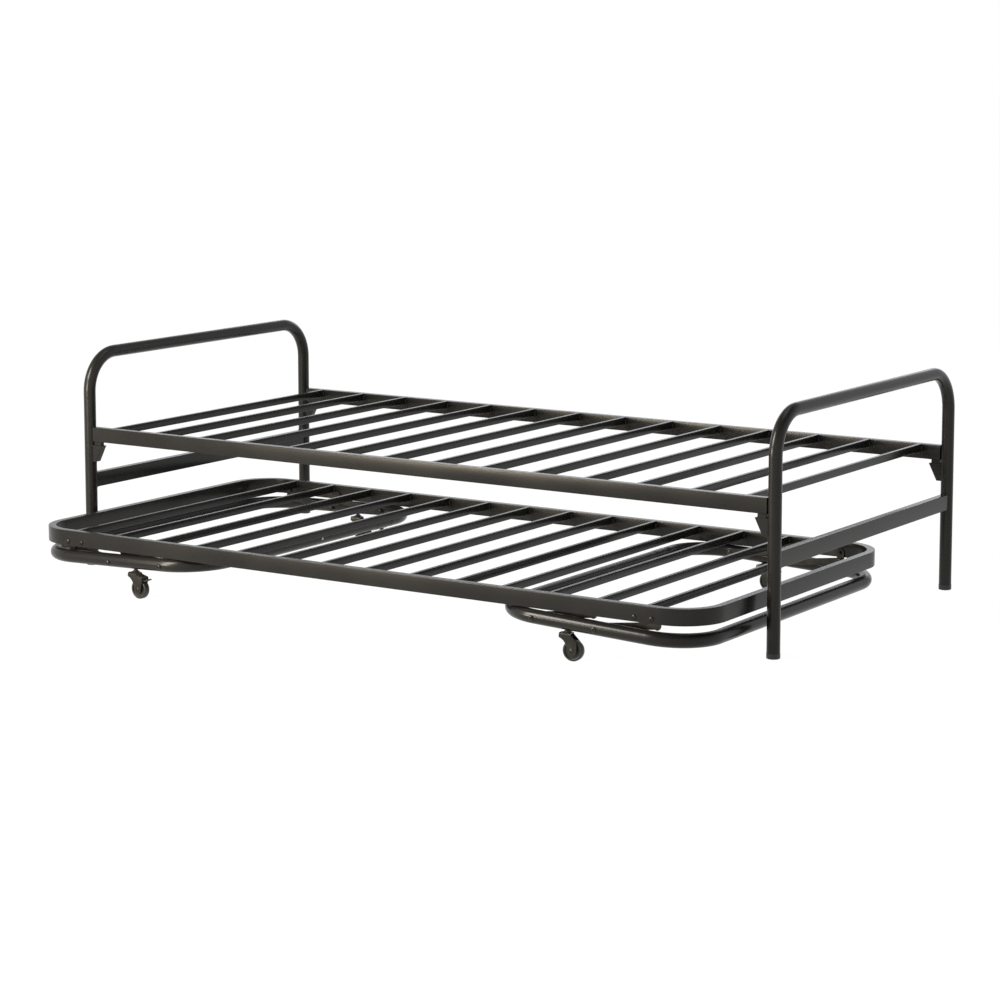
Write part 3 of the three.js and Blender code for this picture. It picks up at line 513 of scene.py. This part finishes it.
for face, y in FACES:
    bm = bmesh.new()
    low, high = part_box(f"side_rail_{face}")
    rail_top = high[2]
    rail_middle = (rail_top + rail_bottom) / 2
    ends = [Vector((leg_x[side] - x * (HOOP_TUBE / 2 + RAIL_GAP), leg_y[face], rail_middle)) for side, x in SIDES]
    sweep(bm, straight(*ends), Z, box_section(RAIL_DEPTH, rail_top - rail_bottom, BAR_ROUND))
    for side, x in SIDES:
        toward = -x * X
        near = HOOP_TUBE / 2 + POCKET_SHEET + TONGUE_GAP
        top, mouth = rail_bottom + 1 * MM, rail_bottom - POCKET_BELOW
        bottom = mouth - POCKET_DROP + POCKET_SHEET
        far_top = HOOP_TUBE / 2 + POCKET_TOP_REACH - POCKET_SHEET - TONGUE_GAP
        far_bottom = HOOP_TUBE / 2 + POCKET_FOOT_REACH - POCKET_SHEET + 1 * MM
        foot = Vector((leg_x[side], leg_y[face], 0))
        neck = far_top - NECK_INSET
        plate(bm, [(near, top), (neck, top), (neck, mouth), (far_top - 0.4 * MM, mouth - 0.8 * MM),
                   (far_bottom, bottom), (near, bottom)], foot, toward, Z,
              POCKET_WIDTH - 2 * POCKET_SHEET - 2 * TONGUE_GAP)
        start = foot + toward * near + Z * rail_bottom
        weld_bead(bm, [start + y * 5.6 * MM * Y, start + toward * (neck - near) + y * 5.6 * MM * Y], 2.4 * MM)
    finish_piece(bm, f"side_rail_tube_{face}", "day_bed", powder_coat,
                 [f"side_rail_{face}"])


# ---- Slats
# Narrow tube on edge, cut to length, pushed between the rails and welded down both of its sides at each end.
SLAT_WIDTH = 10 * MM
SLAT_HEIGHT = 19.5 * MM
SLAT_RISE = 1 * MM  # brings the slats flush with the bars that carry them
SLAT_ROUND = 1 * MM
SLAT_BEAD = 6.4 * MM

for kind, body, count in (("bed", "day_bed", 14), ("trundle", "trundle_frame", 14)):
    for i in range(1, count + 1):
        node = f"{kind}_slat_{i:02d}"
        middle, across = centre(node), size(node)
        bm = bmesh.new()
        middle.z += across.z / 2 + SLAT_RISE - SLAT_HEIGHT / 2
        ends = [middle - Y * across.y / 2, middle + Y * across.y / 2]
        sweep(bm, straight(*ends), Z, box_section(SLAT_WIDTH, SLAT_HEIGHT, SLAT_ROUND, 3))
        for end, y in zip(ends, (-1, 1)):
            for hand in (-1, 1):
                foot = end + hand * (SLAT_WIDTH / 2 + 0.8 * MM) * X - y * 0.6 * MM * Y
                low = foot - Z * SLAT_HEIGHT * weld_random.uniform(0.32, 0.42)
                high = foot + Z * SLAT_HEIGHT * weld_random.uniform(0.26, 0.36)
                weld_bead(bm, [low, high], SLAT_BEAD)
        finish_piece(bm, f"{kind}_slat_tube_{i:02d}", body, powder_coat, [node])


# ---- Trundle ring
# Rectangular tube bent the hard way at four wide corners and closed by one weld in the middle of its back run.
RING_DEPTH = 20 * MM
RING_CORNER = 112 * MM  # outside

ring_middle, ring_size = centre("trundle_ring"), size("trundle_ring")
half_x = ring_size.x / 2 - RING_DEPTH / 2
half_y = ring_size.y / 2 - RING_DEPTH / 2
corners = [ring_middle + Vector((a * half_x, b * half_y, 0)) for a, b in ((-1, -1), (1, -1), (1, 1), (-1, 1))]
bm = bmesh.new()
ring_path = bent_path(corners, RING_CORNER - RING_DEPTH / 2, 20, closed=True)
sweep(bm, ring_path, Z, box_section(RING_DEPTH, ring_size.z, BAR_ROUND), closed=True)
finish_piece(bm, "ring_tube", "trundle_frame", powder_coat, ["trundle_ring"])


# ---- Base loops
# Round tube bent to a rounded rectangle that leans, low at the outer end. The tube's necked end slides into its
# own swelled mouth on the inner run, where a screw holds it. A pad lies under the run. A pale button on the run
# is painted light: its colour paints a bright spot on the tube.
LOOP_TUBE = 34 * MM
LOOP_BEND = 118 * MM
LOOP_TILT = math.radians(2.5)
LOOP_LIES = {"left": math.radians(1.65), "right": LOOP_TILT}  # play in its rivets lets the left one lie flatter
MOUTH_SHIFT = 316 * MM  # places along the inner run are measured from its middle to the back
MOUTH_SWELL = 0.6 * MM
MOUTH_LENGTH = 48 * MM
STEP_LENGTH = 7 * MM
NECK_SCALE = 0.91
NECK_LENGTH = 8 * MM
SCREW_SHIFT = 303 * MM
PAD_SHIFT = 217 * MM
PAD_SIZE = (58 * MM, 15 * MM, 4 * MM)
SPOT_SHIFT = 14 * MM


def button_head(bm, origin, axis, diameter, height, socket=0.0):
    """A domed screw head standing along an axis, with a round-bottomed socket when one is given."""
    r = diameter / 2
    profile = [(r, 0), (r, height * 0.25), (r * 0.88, height * 0.62), (r * 0.62, height * 0.92)]
    if socket:
        profile += [(socket / 2 + 0.3 * MM, height), (socket / 2, height * 0.9), (socket / 2 * 0.9, height * 0.35)]
        profile += [(0, height * 0.3)]
    else:
        profile += [(r * 0.3, height), (0, height)]
    turn(bm, [(0, -0.2 * MM)] + profile, origin, axis, 24)


def hex_nut(bm, origin, axis, across_flats, height, thread):
    """A six-sided nut with the screw's end standing through it."""
    corner = across_flats / math.sqrt(3)
    inside = corner * 0.9
    profile = [(inside, 0), (corner, height * 0.12), (corner, height * 0.86), (inside, height), (0, height)]
    turn(bm, profile, origin, axis, 6)
    end = [(thread / 2, height * 0.5), (thread / 2, height + 1.4 * MM), (thread / 2 - 0.6 * MM, height + 2 * MM)]
    turn(bm, end + [(0, height + 2 * MM)], origin, axis, 16)


for side, x in SIDES:
    node = f"base_loop_{side}"
    middle, across = centre(node), size(node)
    run = (across.x - LOOP_TUBE) / math.cos(LOOP_TILT)
    inner = middle - x * run / 2 * Vector((math.cos(LOOP_TILT), 0, -x * math.sin(LOOP_TILT)))
    lies = LOOP_LIES[side]
    outward = Vector((x * math.cos(lies), 0, -math.sin(lies)))
    normal = outward.cross(Y) * x
    radius = LOOP_TUBE / 2
    half = (across.y - LOOP_TUBE) / 2 * Y
    outer = inner + outward * run
    bm = bmesh.new()
    stations = bent_path([inner + half, outer + half, outer - half, inner - half], LOOP_BEND, 20, closed=True)
    scales = [1] * len(stations)
    neck_end = MOUTH_SHIFT + NECK_LENGTH
    for shift, scale in ((MOUTH_SHIFT - STEP_LENGTH * 2, 1), (MOUTH_SHIFT - STEP_LENGTH, 1),
                         (MOUTH_SHIFT - STEP_LENGTH / 2, NECK_SCALE), (neck_end, NECK_SCALE),
                         (neck_end + STEP_LENGTH, 1), (neck_end + STEP_LENGTH * 2, 1)):
        stations.append((inner + shift * Y, Y))
        scales.append(scale)
    sweep(bm, stations, normal, round_section(LOOP_TUBE), closed=True, scales=scales)
    swelled = radius + MOUTH_SWELL
    mouth = [(radius - 1 * MM, 0), (swelled - 0.5 * MM, 0), (swelled + 0.2 * MM, 0.7 * MM), (swelled, 2.4 * MM),
             (swelled, 4 * MM), (swelled, MOUTH_LENGTH - 2 * MM), (swelled, MOUTH_LENGTH), (radius + MOUTH_SWELL * 0.5, MOUTH_LENGTH + STEP_LENGTH / 2),
             (radius - 0.1 * MM, MOUTH_LENGTH + STEP_LENGTH), (radius - 1 * MM, MOUTH_LENGTH + STEP_LENGTH)]
    turn(bm, mouth, inner + MOUTH_SHIFT * Y, -Y, 36)
    finish_piece(bm, f"loop_tube_{side}", f"base_{side}", powder_coat, [node])

    bm = bmesh.new()
    screw = inner + SCREW_SHIFT * Y
    hex_nut(bm, screw - normal * (swelled - 0.3 * MM), -normal, 10 * MM, 5 * MM, 6 * MM)
    finish_piece(bm, f"loop_screw_{side}", f"base_{side}", dark_zinc)

    bm = bmesh.new()
    length, width, thick = PAD_SIZE
    pad = inner + PAD_SHIFT * Y - normal * (radius + 1 * MM)
    outline = [(a * length / 2, b * width / 2) for a, b in ((-1, -1), (1, -1), (1, 1), (-1, 1))]
    plate(bm, outline, pad, Y, outward, thick, 1 * MM)
    finish_piece(bm, f"loop_pad_{side}", f"base_{side}", black_plastic)

    # A pale button whose colour paints a bright spot on the tube: painted light.
    bm = bmesh.new()
    spot_place = inner + SPOT_SHIFT * Y - outward * (radius - 0.3 * MM)
    button_head(bm, spot_place, -outward, 7 * MM, 1.6 * MM)
    finish_piece(bm, f"loop_painted_spot_{side}", f"base_{side}", painted_spot_material)


# ---- Link brackets
# A stamped plate behind each long side of the ring with two ears for the links' rivets. Two socket screws go
# through the ring's tube into nuts behind the plate.
BRACKET_FACE = 20.3 * MM  # depths are measured inward from the ring's outer face
BRACKET_THICK = 3 * MM
BRACKET_LUG = 20 * MM
BRACKET_EDGE = 113 * MM
BRACKET_CORNER = 6 * MM
BOLT_HEIGHT = 123 * MM
BOLT_PLACES = (129 * MM, 174 * MM)  # from the ring's end

hinges = {joint["name"]: joint for joint in frame["joints"]}
ring_low, ring_high = (Vector(v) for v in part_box("trundle_ring"))
ring_end = {"left": ring_low.x, "right": ring_high.x}
ring_face = {"front": ring_low.y, "back": ring_high.y}
loop_pivot = Vector(hinges["pop_up"]["pos_m"])
loop_pivot_inner = Vector(hinges["inner_link_front_left"]["pos_m"])
frame_pivot = Vector(hinges["frame_on_outer_link_left"]["pos_m"])
CORNERS = [(side, x, face, y) for side, x in SIDES for face, y in FACES]


def at_corner(side, face, from_end, depth, height):
    """A place measured from a corner of the ring: in from its end, in from its outer face, above the floor."""
    x, y = dict(SIDES)[side], dict(FACES)[face]
    return Vector((ring_end[side] - x * from_end, ring_face[face] - y * depth, height))


def link_places(which):
    """Where a link's two rivets are: from the ring's end and above the floor, in the loop and in the bracket."""
    foot = loop_pivot if which == "outer" else loop_pivot_inner
    head = foot + frame_pivot - loop_pivot
    return (foot.x - ring_end["left"], foot.z), (head.x - ring_end["left"], head.z)


for side, x, face, y in CORNERS:
    bm = bmesh.new()
    ears = [link_places(which)[1] for which in ("outer", "inner")]
    outline = []
    for from_end, height in ears:
        for step in range(13):
            angle = math.pi * step / 12
            outline.append((from_end - BRACKET_LUG / 2 * math.cos(angle), height - BRACKET_LUG / 2 * math.sin(angle)))
        if from_end == ears[0][0]:
            outline.append((from_end + BRACKET_LUG / 2, BRACKET_EDGE))
            outline.append((ears[1][0] - BRACKET_LUG / 2, BRACKET_EDGE))
    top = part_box(f"link_bracket_{face}_{side}")[1][2]
    start, end = ears[0][0] - BRACKET_LUG / 2, ears[1][0] + BRACKET_LUG / 2
    outline += [(end, top - BRACKET_CORNER), (end - BRACKET_CORNER, top), (start + BRACKET_CORNER, top),
                (start, top - BRACKET_CORNER)]
    origin = at_corner(side, face, 0, BRACKET_FACE + BRACKET_THICK / 2, 0)
    plate(bm, outline, origin, -x * X, Z, BRACKET_THICK, 0.5 * MM)
    for from_end in BOLT_PLACES:
        button_head(bm, at_corner(side, face, from_end, 0, BOLT_HEIGHT), y * Y, 12 * MM, 3.2 * MM, 4.4 * MM)
        hex_nut(bm, at_corner(side, face, from_end, BRACKET_FACE + BRACKET_THICK, BOLT_HEIGHT), -y * Y,
                10 * MM, 5 * MM, 6 * MM)
    finish_piece(bm, f"bracket_plate_{face}_{side}", "trundle_frame", dark_zinc,
                 [f"link_bracket_{face}_{side}"])


# ---- Links
# Two flat bars at each corner, round at both ends. One rivet joins each to the bracket, and a long one with a
# spacer behind it goes right through the loop's tube.
LINK_FACE = BRACKET_FACE + BRACKET_THICK + 0.3 * MM
LINK_THICK = 3.5 * MM
LINK_WIDTH = 17 * MM
LOOP_DEPTHS = (3.6 * MM - LOOP_TUBE / 2, 3.6 * MM + LOOP_TUBE / 2)
RIVET_HEAD = 13 * MM

for side, x, face, y in CORNERS:
    for which in ("outer", "inner"):
        (foot_end, foot_height), (head_end, head_height) = link_places(which)
        foot = at_corner(side, face, foot_end, 0, foot_height)
        head = at_corner(side, face, head_end, 0, head_height)
        along = (head - foot).normalized()
        upward = Vector((0, -1, 0)).cross(along) if along.x > 0 else Vector((0, 1, 0)).cross(along)
        length = (head - foot).length
        outline = []
        for middle, first in ((length, -90), (0, 90)):
            for step in range(13):
                angle = math.radians(first + 180 * step / 12)
                outline.append((middle + LINK_WIDTH / 2 * math.cos(angle), LINK_WIDTH / 2 * math.sin(angle)))
        bm = bmesh.new()
        inward = -y * Y
        plate(bm, outline, foot + inward * (LINK_FACE + LINK_THICK / 2), along, upward, LINK_THICK, 0.6 * MM)
        spacer = [(7.5 * MM, LOOP_DEPTHS[1] + 1.2 * MM), (7.5 * MM, LINK_FACE + 0.5 * MM)]
        turn(bm, [(0, spacer[0][1])] + spacer + [(0, spacer[1][1])], foot, inward, 24)
        turn(bm, [(4 * MM, LOOP_DEPTHS[0] - 1 * MM), (4 * MM, LINK_FACE)], foot, inward, 20)
        button_head(bm, foot + inward * (LOOP_DEPTHS[0] - 0.3 * MM), -inward, RIVET_HEAD, 3 * MM, 3.6 * MM)
        for place in (foot, head):
            button_head(bm, place + inward * (LINK_FACE + LINK_THICK), inward, RIVET_HEAD, 2.8 * MM)
        turn(bm, [(4 * MM, BRACKET_FACE + 0.2 * MM), (4 * MM, LINK_FACE + 1 * MM)], head, inward, 20)
        finish_piece(bm, f"link_bar_{which}_{face}_{side}", f"link_{which}_{face}_{side}", dark_zinc,
                     [f"link_{which}_{face}_{side}"])


# ---- Caster forks
# Sheet steel pressed to a hood: a crown with round shoulders and a cheek each side. A race and a collar carry
# the stem, and the axle is riveted over with a ring round it.
CASTER_TRAIL = 15 * MM
FORK_SHEET = 2.5 * MM
FORK_INSIDE = 9.3 * MM
FORK_NOSE = 17.5 * MM
FORK_BACK = 11 * MM
FORK_BOSS = 12 * MM
FORK_SHOULDER = 4.5 * MM
CROWN_TOP = 66 * MM
CROWN_BOTTOM = 55 * MM
CHEEK_BACK = 45 * MM  # where the cheek's back edge turns to the crown
PEDAL_PIN = (29 * MM, 53 * MM)
BRAKED = ("front_left", "back_right")


def smooth_bend(start, control, end, steps=8):
    """Points along a curve that leaves start and reaches end, pulled toward control."""
    points = []
    for step in range(1, steps + 1):
        t = step / steps
        points.append(tuple(a * (1 - t) ** 2 + 2 * b * t * (1 - t) + c * t * t
                            for a, b, c in zip(start, control, end)))
    return points


def channel_section(width, top, bottom, shoulder, sheet, steps=6):
    """A bent sheet's points, open below, as pairs across and up."""
    inside = shoulder - sheet
    outer = [(width / 2, bottom)]
    inner = [(width / 2 - sheet, bottom)]
    for step in range(steps + 1):
        angle = math.pi / 2 * step / steps
        across, up = width / 2 - shoulder, top - shoulder
        outer.append((across + shoulder * math.cos(angle), up + shoulder * math.sin(angle)))
        inner.append((across + inside * math.cos(angle), up + inside * math.sin(angle)))
    outer += [(-a, b) for a, b in reversed(outer)]
    inner += [(-a, b) for a, b in reversed(inner)]
    return outer + inner[::-1]


def caster_axes(corner):
    """The foot of a caster's stem, the direction its wheel trails and the direction of its axle."""
    stem = Vector(hinges[f"swivel_{corner}"]["pos_m"])
    axle = Vector(hinges[f"wheel_{corner}"]["axis"])
    trail = axle.cross(Z).normalized()
    return Vector((stem.x, stem.y, 0)), trail, axle


for side, x, face, y in CORNERS:
    corner = f"{face}_{side}"
    foot, trail, axle = caster_axes(corner)
    axle_height = centre(f"caster_wheel_{corner}").z
    hub = foot + trail * CASTER_TRAIL + Z * axle_height
    shoulder = CROWN_TOP - FORK_SHOULDER
    cheek = [(-FORK_NOSE + 0.4 * MM, shoulder), (-FORK_NOSE + 0.4 * MM, CROWN_BOTTOM)]
    cheek += smooth_bend(cheek[-1], (1 * MM, CROWN_BOTTOM - 7 * MM), (CASTER_TRAIL - FORK_BOSS, axle_height))
    cheek += [(CASTER_TRAIL - FORK_BOSS * math.cos(math.pi * i / 16),
               axle_height - FORK_BOSS * math.sin(math.pi * i / 16)) for i in range(1, 17)]
    if corner in BRAKED:
        pin_x, pin_z = PEDAL_PIN
        cheek += [(pin_x + 3 * MM, pin_z - 4 * MM), (pin_x + 4 * MM, pin_z), (pin_x + 2 * MM, pin_z + 4 * MM)]
    else:
        cheek += [(CASTER_TRAIL + FORK_BOSS, CHEEK_BACK)]
    cheek += [(FORK_BACK, shoulder)]
    bm = bmesh.new()
    for hand in (-1, 1):
        plate(bm, cheek, foot + axle * hand * (FORK_INSIDE + FORK_SHEET / 2), trail, Z, FORK_SHEET, 0.7 * MM)
        ring = [(5.6 * MM, -0.3 * MM), (5.6 * MM, 0.6 * MM), (5 * MM, 0.9 * MM), (3.9 * MM, 0.9 * MM),
                (3.6 * MM, 0.4 * MM), (2.9 * MM, 0.5 * MM), (2.2 * MM, 1 * MM), (0, 1 * MM)]
        turn(bm, ring, hub + axle * hand * (FORK_INSIDE + FORK_SHEET), axle * hand, 24)
    turn(bm, [(3.9 * MM, -FORK_INSIDE - 1 * MM), (3.9 * MM, FORK_INSIDE + 1 * MM)], hub, axle, 20)
    outside = 2 * (FORK_INSIDE + FORK_SHEET) + 0.2 * MM
    crown = channel_section(outside, CROWN_TOP, CROWN_BOTTOM, FORK_SHOULDER, FORK_SHEET)
    sweep(bm, straight(foot - trail * FORK_NOSE, foot + trail * FORK_BACK), Z, crown)
    nose = [(-FORK_NOSE - 0.2 * MM, CROWN_BOTTOM), (-FORK_NOSE + FORK_SHEET, CROWN_BOTTOM),
            (-FORK_NOSE + FORK_SHEET, CROWN_TOP - 1 * MM), (-FORK_NOSE - 0.2 * MM, CROWN_TOP - 2 * MM)]
    plate(bm, nose, foot, trail, Z, outside - 3 * MM, 0.5 * MM)
    stem_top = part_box(f"caster_fork_{corner}")[1][2]
    collar_top = stem_top - 12.5 * MM
    turn(bm, [(11 * MM, CROWN_TOP - 0.2 * MM), (11 * MM, CROWN_TOP + 1.4 * MM), (10 * MM, CROWN_TOP + 2 * MM),
              (8 * MM, CROWN_TOP + 2.2 * MM)], foot, Z, 32)
    turn(bm, [(7.5 * MM, CROWN_TOP), (7.5 * MM, collar_top - 0.6 * MM), (7 * MM, collar_top), (5 * MM, collar_top),
              (5 * MM, stem_top)], foot, Z, 24)
    finish_piece(bm, f"caster_hood_{corner}", f"caster_fork_{corner}", dark_zinc,
                 [f"caster_fork_{corner}"])


# ---- Wheels
# Moulded in one piece, dished between hub and tread, with fine rings left by the mould.
for side, x, face, y in CORNERS:
    corner = f"{face}_{side}"
    foot, trail, axle = caster_axes(corner)
    middle = centre(f"caster_wheel_{corner}")
    radius = middle.z
    half = 8.5 * MM
    flank = [(4.4 * MM, half), (7.6 * MM, half), (8 * MM, half - 0.4 * MM), (8.2 * MM, half - 2.6 * MM),
             (11 * MM, half - 3 * MM), (11.3 * MM, half - 2.5 * MM), (12 * MM, half - 2.5 * MM),
             (12.3 * MM, half - 3 * MM), (15 * MM, half - 3 * MM), (15.3 * MM, half - 2.5 * MM),
             (16 * MM, half - 2.5 * MM), (16.3 * MM, half - 3 * MM), (18.6 * MM, half - 2.8 * MM),
             (19.2 * MM, half - 0.4 * MM), (19.8 * MM, half), (20.8 * MM, half), (21.2 * MM, half - 0.5 * MM),
             (21.5 * MM, half - 0.5 * MM)]
    tread = [(radius - 3 * MM + 3 * MM * math.sin(math.radians(angle)),
              half - 3.5 * MM + 3 * MM * math.cos(math.radians(angle))) for angle in (0, 22, 45, 68, 90)]
    one_side = flank + tread
    profile = [(r, -h) for r, h in one_side] + [(r, h) for r, h in reversed(one_side)]
    bm = bmesh.new()
    turn(bm, profile, middle, axle, 48)
    finish_piece(bm, f"wheel_{corner}", f"caster_wheel_{corner}", wheel_nylon,
                 [f"caster_wheel_{corner}"])


# ---- Brake pedals
# A moulded lever on a pin behind the wheel, with a shoe that bears on the tread when it is trodden down.
PEDAL_REACH = 13 * MM
PEDAL_DROP = 6 * MM  # the lever leaves the pedal's hub this far below its pin
PEDAL_LIFT = math.radians(24)

for corner in BRAKED:
    foot, trail, axle = caster_axes(corner)
    pin = Vector(hinges[f"brake_{corner}"]["pos_m"])
    hub = centre(f"caster_wheel_{corner}")
    width = 17.6 * MM
    lift = trail * math.cos(PEDAL_LIFT) + Z * math.sin(PEDAL_LIFT)
    rise = Z * math.cos(PEDAL_LIFT) - trail * math.sin(PEDAL_LIFT)
    lever = [(0, -1.5 * MM), (PEDAL_REACH - 1.4 * MM, -1.5 * MM), (PEDAL_REACH, -0.4 * MM),
             (PEDAL_REACH, 0.8 * MM), (PEDAL_REACH - 1 * MM, 1.5 * MM), (0, 2.2 * MM)]
    root = pin + trail * 6.5 * MM - Z * PEDAL_DROP
    arm = [(-2 * MM, 1 * MM), (1.5 * MM, -PEDAL_DROP), (7 * MM, -PEDAL_DROP - 1.2 * MM), (4 * MM, 1 * MM)]
    bm = bmesh.new()
    plate(bm, lever, root, lift, rise, width, 1 * MM)
    plate(bm, arm, pin, trail, Z, width, 0.8 * MM)
    for i in range(4):
        rib = root + lift * (PEDAL_REACH - (2.4 + 2.4 * i) * MM) + rise * 1.6 * MM
        outline = [(-0.5 * MM, -0.5 * MM), (0.5 * MM, -0.5 * MM), (0.3 * MM, 0.5 * MM), (-0.3 * MM, 0.5 * MM)]
        plate(bm, outline, rib, lift, rise, width - 4 * MM, 0.2 * MM)
    turn(bm, [(0, -width / 2), (3.6 * MM, -width / 2), (4 * MM, -width / 2 + 0.4 * MM),
              (4 * MM, width / 2 - 0.4 * MM), (3.6 * MM, width / 2), (0, width / 2)], pin, axle, 24)
    toward = hub - pin
    reach = toward.length - hub.z - 0.6 * MM
    toward.normalize()
    pressed = toward * math.cos(math.radians(20)) + axle.cross(toward) * math.sin(math.radians(-20))
    plate(bm, [(0, -2.5 * MM), (reach, -2.5 * MM), (reach, 2.5 * MM), (0, 2.5 * MM)], pin, pressed,
          axle.cross(pressed), width, 0.6 * MM)
    turn(bm, [(0, -FORK_INSIDE - 2.4 * MM), (2 * MM, -FORK_INSIDE - 2.4 * MM), (2 * MM, FORK_INSIDE + 2.4 * MM),
              (0, FORK_INSIDE + 2.4 * MM)], pin, axle, 16)
    finish_piece(bm, f"pedal_{corner}", f"brake_pedal_{corner}", black_plastic,
                 [f"brake_pedal_{corner}"])
